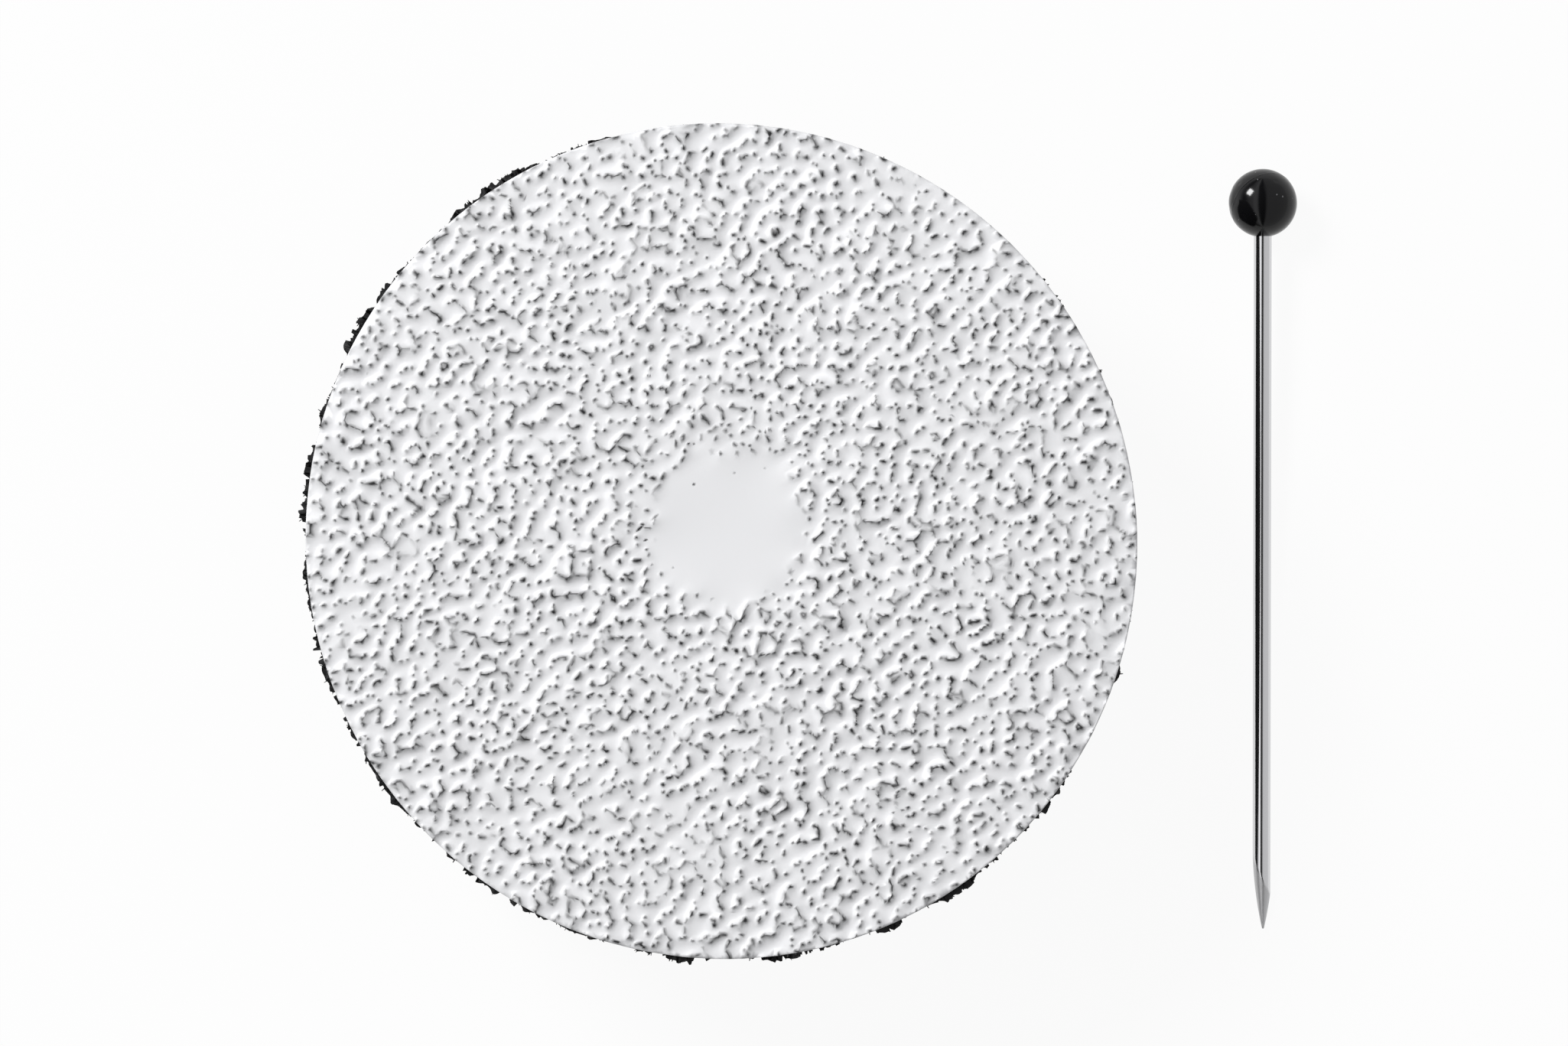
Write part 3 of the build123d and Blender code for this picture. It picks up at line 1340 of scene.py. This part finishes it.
@dataclass
class Pin:
    """The loose pin: drawn wire with a ground point, and a ball moulded on it.

    Attributes:
        point_length: The ground point's longer side, in mm.
        tip_radius: In mm.
        point_offset: How far off the wire's axis the point is ground, in mm.
        bore_depth: How deep the wire stands in the ball, in mm.
        seam_way: Which way the ball's mould line faces.
        seam_height: How far the mould line stands out, in mm.
        seam_width: In mm.
    """

    point_length: float = 4.3
    tip_radius: float = 0.05
    point_offset: float = 0.08
    bore_depth: float = 2.7
    seam_way: tuple[float, float, float] = (0.3975, -0.491, 0.775)
    seam_height: float = 0.012
    seam_width: float = 0.035

    def __post_init__(self) -> None:
        """Reads the pin's place and its radii from the frame, in mm, and its slope."""
        ball_low, ball_high = (np.array(corner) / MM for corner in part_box("pin_head"))
        wire_low, wire_high = (np.array(corner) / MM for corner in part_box("pin_shank"))
        self.ball = (ball_low + ball_high) / 2
        self.ball_radius = (ball_high[2] - ball_low[2]) / 2
        self.wire_radius = (wire_high[0] - wire_low[0]) / 2
        reach = self.wire_radius + self.point_offset
        drop = reach - self.tip_radius
        self.reach = reach
        self.ogive = (self.point_length**2 + drop**2) / (2 * drop)
        rest_drop = reach - math.hypot(self.wire_radius, self.point_offset)
        rest = self.point_length - math.sqrt(rest_drop * (2 * self.ogive - rest_drop))
        # The box gives the slope's cosine, and the rest of the slope follows from it.
        self.tip_from_ball = (self.ball[1] - wire_low[1])
        span = self.tip_from_ball - rest
        self.slope = math.asin(self.ball_radius / math.hypot(span, self.wire_radius))
        self.slope -= math.atan2(self.wire_radius, span)
        self.tip_from_ball /= math.cos(self.slope)

    def build(self) -> None:
        """Makes and dresses the wire and the ball."""
        wire = self.wire()
        ball = self.moulded_ball()
        report(wire, ball)

    def placed(self, local: np.ndarray) -> np.ndarray:
        """Takes points from the pin's own axes to the frame's.

        Args:
            local: x across the pin, y up its axis from the ball's middle, z up, in mm.

        Returns:
            The points in the frame, in mm.
        """
        c, s = math.cos(self.slope), math.sin(self.slope)
        x, y, z = local.T
        return np.column_stack([x, c * y - s * z, s * y + c * z]) + self.ball

    def wire(self) -> bpy.types.Object:
        """Makes the wire, turned about the axis that its point is ground on.

        Returns:
            The piece.
        """
        around = 96
        top = self.bore_depth - self.ball_radius
        length = self.tip_from_ball + top
        point = np.concatenate([np.linspace(0, 1, 60) ** 1.4 * self.point_length])
        plain = np.linspace(self.point_length, length, 90)[1:]
        stations = np.concatenate([point, plain])
        turn = np.arange(around) * (2 * math.pi / around)
        drop = np.clip(self.point_length - stations, 0, None)
        grind = self.reach - (self.ogive - np.sqrt(self.ogive**2 - drop**2))
        off = self.point_offset
        wire_edge = -off * np.cos(turn) + np.sqrt(self.wire_radius**2 - (off * np.sin(turn)) ** 2)
        radius = np.minimum(grind[:, None], wire_edge[None, :])
        radius[stations >= self.point_length] = wire_edge
        ground = np.clip((wire_edge[None, :] - grind[:, None]) / 0.02, 0, 1)
        ground[stations >= self.point_length] = 0
        x = off + radius * np.cos(turn)
        z = radius * np.sin(turn)
        y = np.broadcast_to((stations - self.tip_from_ball)[:, None], x.shape)
        shell = np.stack([x, y, z], -1).reshape(-1, 3)
        tip = np.array([[off, -self.tip_from_ball - 0.6 * self.tip_radius, 0]])
        end = np.array([[0, top, 0]])
        points = np.concatenate([shell, tip, end])
        here = np.arange(around)
        after = np.roll(here, -1)
        faces = []
        for row in range(len(stations) - 1):
            low = row * around
            high = low + around
            faces.append(np.stack([low + here, high + after, low + after], -1))
            faces.append(np.stack([low + here, high + here, high + after], -1))
        tip_index = len(shell)
        faces.append(np.stack([here, after, np.full(around, tip_index)], -1))
        last = (len(stations) - 1) * around
        faces.append(np.stack([last + after, last + here, np.full(around, tip_index + 1)], -1))
        piece = mesh_piece("pin_shank_wire", self.placed(points), np.concatenate(faces))
        paint(piece, "ground", np.concatenate([ground.ravel(), [1.0, 0.0]]))
        piece.data.materials.append(SteelFinish().material())
        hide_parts("pin_shank")
        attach(piece, Body.PIN.value)
        return piece

    def moulded_ball(self) -> bpy.types.Object:
        """Makes the ball, with its mould line and the dents of its skin.

        Returns:
            The piece.
        """
        import bmesh

        ball = bmesh.new()
        bmesh.ops.create_icosphere(ball, subdivisions=7, radius=1.0)
        ways = np.array([v.co[:] for v in ball.verts])
        faces = np.array([[v.index for v in f.verts] for f in ball.faces])
        ball.free()
        seam = np.array(self.seam_way) / np.linalg.norm(self.seam_way)
        off_seam = np.abs(ways @ seam) * self.ball_radius
        ragged = 0.6 + 0.4 * np.sin(37 * ways[:, 0] + 11 * ways[:, 1]) * np.sin(53 * ways[:, 1])
        ridge = self.seam_height * ragged * np.exp(-((off_seam / self.seam_width) ** 2))
        rng = np.random.default_rng(12)
        dents = np.zeros(len(ways))
        for _ in range(26):
            middle = rng.normal(0, 1, 3) + np.array((-1.3, 0.0, 0.0))
            middle /= np.linalg.norm(middle)
            size = rng.uniform(0.05, 0.16)
            near = np.linalg.norm(ways - middle, axis=1) / size
            dents -= rng.uniform(0.006, 0.02) * np.exp(-(near**2))
        radius = self.ball_radius - 0.01 + ridge + dents
        piece = mesh_piece("pin_head_ball", self.placed(ways * radius[:, None]), faces)
        piece.data.materials.append(BallFinish().material())
        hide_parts("pin_head")
        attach(piece, Body.PIN.value)
        return piece


# ---- The studio -----------------------------------------------------------------------


@dataclass
class Studio:
    """White table, one soft key light, a dark ceiling and the camera.

    Attributes:
        key_way: Direction from the cushion to the key light.
        key_far: The key light's distance, in mm.
        key_side: The key light's side, in mm.
        key_power: In watts.
        pin_way: Direction from the pin to its own key light.
        pin_power: That light's power, in watts.
        sky: Strength of the pale light all round.
        room: What bright metal mirrors: degrees from overhead to the right, and how bright it is.
        eye: Where the camera stands, in mm. It looks straight down.
        lens: The camera's focal length, in mm, on a sensor 36 mm wide.
    """

    key_way: tuple[float, float, float] = (-0.519, 0.463, 0.719)
    key_far: float = 600.0
    key_side: float = 190.0
    key_power: float = 3.25
    pin_way: tuple[float, float, float] = (-0.642, 0.573, 0.507)
    pin_power: float = 4.4
    sky: float = 0.3
    room: tuple[tuple[float, float], ...] = (
        (-90, 0.75), (-80, 0.3), (-74, 0.04), (-64, 0.05), (-52, 0.6), (-37, 0.9), (-33, 1.3), (-23, 1.3),
        (-16, 0.05), (5, 0.03), (13, 0.7), (90, 0.75),
    )
    eye: tuple[float, float, float] = (3.04, 0.88, 438.0)
    lens: float = 200.0

    def build(self) -> None:
        """Makes the table, the lights and the camera."""
        self.table()
        cushion_key = self.key_light("cushion_key", self.key_way, self.key_power)
        pin_key = self.key_light("pin_key", self.pin_way, self.pin_power)
        self.share_lights(cushion_key, pin_key)
        self.world()
        self.camera()

    def table(self) -> None:
        """Lays a white table under everything."""
        side = 4000.0
        corners = np.array([[-side, -side, 0], [side, -side, 0], [side, side, 0], [-side, side, 0]]) / 2
        table = mesh_piece("table", corners, np.array([[0, 1, 2], [0, 2, 3]]))
        shader = Shader("white_table")
        shader.set(base=(0.8, 0.8, 0.8), roughness=0.9)
        glow = shader.node("Emission")
        glow.inputs["Strength"].default_value = 1.0
        mix = shader.node("MixShader")
        seen = shader.node("LightPath")
        plain = shader.math("MAXIMUM", seen.outputs["Is Camera Ray"], seen.outputs["Is Glossy Ray"])
        shader.join(shader.math("MULTIPLY", plain, 0.94), mix.inputs["Fac"])
        shader.join(shader.surface.outputs["BSDF"], mix.inputs[1])
        shader.join(glow.outputs["Emission"], mix.inputs[2])
        shader.join(mix.outputs["Shader"], shader.output.inputs["Surface"])
        table.data.materials.append(shader.material)

    def key_light(self, name: str, way: tuple[float, float, float], power: float) -> bpy.types.Object:
        """Hangs one square soft box.

        Args:
            name: The light's name.
            way: Direction to it from the cushion.
            power: In watts.

        Returns:
            The light.
        """
        light = bpy.data.lights.new(name, "AREA")
        light.shape = "SQUARE"
        light.size = self.key_side * MM
        light.energy = power
        lamp = bpy.data.objects.new(name, light)
        toward = Vector(way).normalized()
        lamp.location = toward * self.key_far * MM
        lamp.rotation_euler = toward.to_track_quat("Z", "Y").to_euler()
        bpy.context.scene.collection.objects.link(lamp)
        return lamp

    def share_lights(self, cushion_key: bpy.types.Object, pin_key: bpy.types.Object) -> None:
        """Lets each key light fall on what it is for.

        Args:
            cushion_key: The light for all but the pin.
            pin_key: The light for the pin, which throws no shadow of anything else.
        """
        pin = bpy.data.collections.new("lit_as_pin")
        rest = bpy.data.collections.new("lit_as_cushion")
        for piece in bpy.context.scene.objects:
            if piece.type == "MESH":
                (pin if piece.name.startswith("pin_") else rest).objects.link(piece)
        cushion_key.light_linking.receiver_collection = rest
        pin_key.light_linking.receiver_collection = pin
        pin_key.light_linking.blocker_collection = pin

    def world(self) -> None:
        """Surrounds the scene with even pale light, seen as white by the camera."""
        world = bpy.data.worlds.new("studio")
        bpy.context.scene.world = world
        world.use_nodes = True
        tree = world.node_tree
        tree.nodes.clear()
        out = tree.nodes.new("ShaderNodeOutputWorld")
        pale = tree.nodes.new("ShaderNodeBackground")
        pale.inputs["Color"].default_value = (0.985, 0.99, 1.0, 1)
        pale.inputs["Strength"].default_value = self.sky
        white = tree.nodes.new("ShaderNodeBackground")
        white.inputs["Strength"].default_value = 1.0
        seen = tree.nodes.new("ShaderNodeLightPath")
        mix = tree.nodes.new("ShaderNodeMixShader")
        mirrored = self.mirrored_room(tree)
        gloss = tree.nodes.new("ShaderNodeMixShader")
        tree.links.new(seen.outputs["Is Glossy Ray"], gloss.inputs["Fac"])
        tree.links.new(pale.outputs["Background"], gloss.inputs[1])
        tree.links.new(mirrored.outputs["Background"], gloss.inputs[2])
        tree.links.new(seen.outputs["Is Camera Ray"], mix.inputs["Fac"])
        tree.links.new(gloss.outputs["Shader"], mix.inputs[1])
        tree.links.new(white.outputs["Background"], mix.inputs[2])
        tree.links.new(mix.outputs["Shader"], out.inputs["Surface"])

    def mirrored_room(self, tree: bpy.types.NodeTree) -> bpy.types.Node:
        """Makes the room that bright metal mirrors, banded from left to right.

        Args:
            tree: The world's nodes.

        Returns:
            The node that gives the room's light.
        """
        place = tree.nodes.new("ShaderNodeTexCoord")
        parts = tree.nodes.new("ShaderNodeSeparateXYZ")
        tree.links.new(place.outputs["Generated"], parts.inputs["Vector"])
        turn = tree.nodes.new("ShaderNodeMath")
        turn.operation = "ARCTAN2"
        tree.links.new(parts.outputs["X"], turn.inputs[0])
        tree.links.new(parts.outputs["Z"], turn.inputs[1])
        share = tree.nodes.new("ShaderNodeMath")
        share.operation = "MULTIPLY_ADD"
        share.inputs[1].default_value = 1 / math.pi
        share.inputs[2].default_value = 0.5
        tree.links.new(turn.outputs["Value"], share.inputs[0])
        bands = tree.nodes.new("ShaderNodeValToRGB")
        steps = bands.color_ramp.elements
        for _ in range(len(self.room) - 2):
            steps.new(0.5)
        for step, (degrees, light) in zip(steps, self.room):
            step.position = (degrees + 90) / 180
            step.color = (light / 2, light / 2, light / 2 * 1.01, 1)
        tree.links.new(share.outputs["Value"], bands.inputs["Fac"])
        room = tree.nodes.new("ShaderNodeBackground")
        room.inputs["Strength"].default_value = 2.0
        tree.links.new(bands.outputs["Color"], room.inputs["Color"])
        return room

    def camera(self) -> None:
        """Stands the camera over the table, looking straight down."""
        lens = bpy.data.cameras.new("camera")
        lens.lens = self.lens
        lens.sensor_width = 36.0
        lens.clip_start = 0.01
        lens.clip_end = 10.0
        camera = bpy.data.objects.new("camera", lens)
        camera.location = Vector(self.eye) * MM
        bpy.context.scene.collection.objects.link(camera)
        bpy.context.scene.camera = camera
        bpy.context.scene.view_settings.view_transform = "Standard"


def main() -> None:
    """Builds the cushion, the pin and the studio."""
    logging.basicConfig(level=logging.INFO, format="%(name)s: %(message)s")
    Cushion(CellFoam()).build()
    Pin().build()
    Studio().build()
    bpy.context.view_layer.update()


if __name__ == "__main__":
    main()
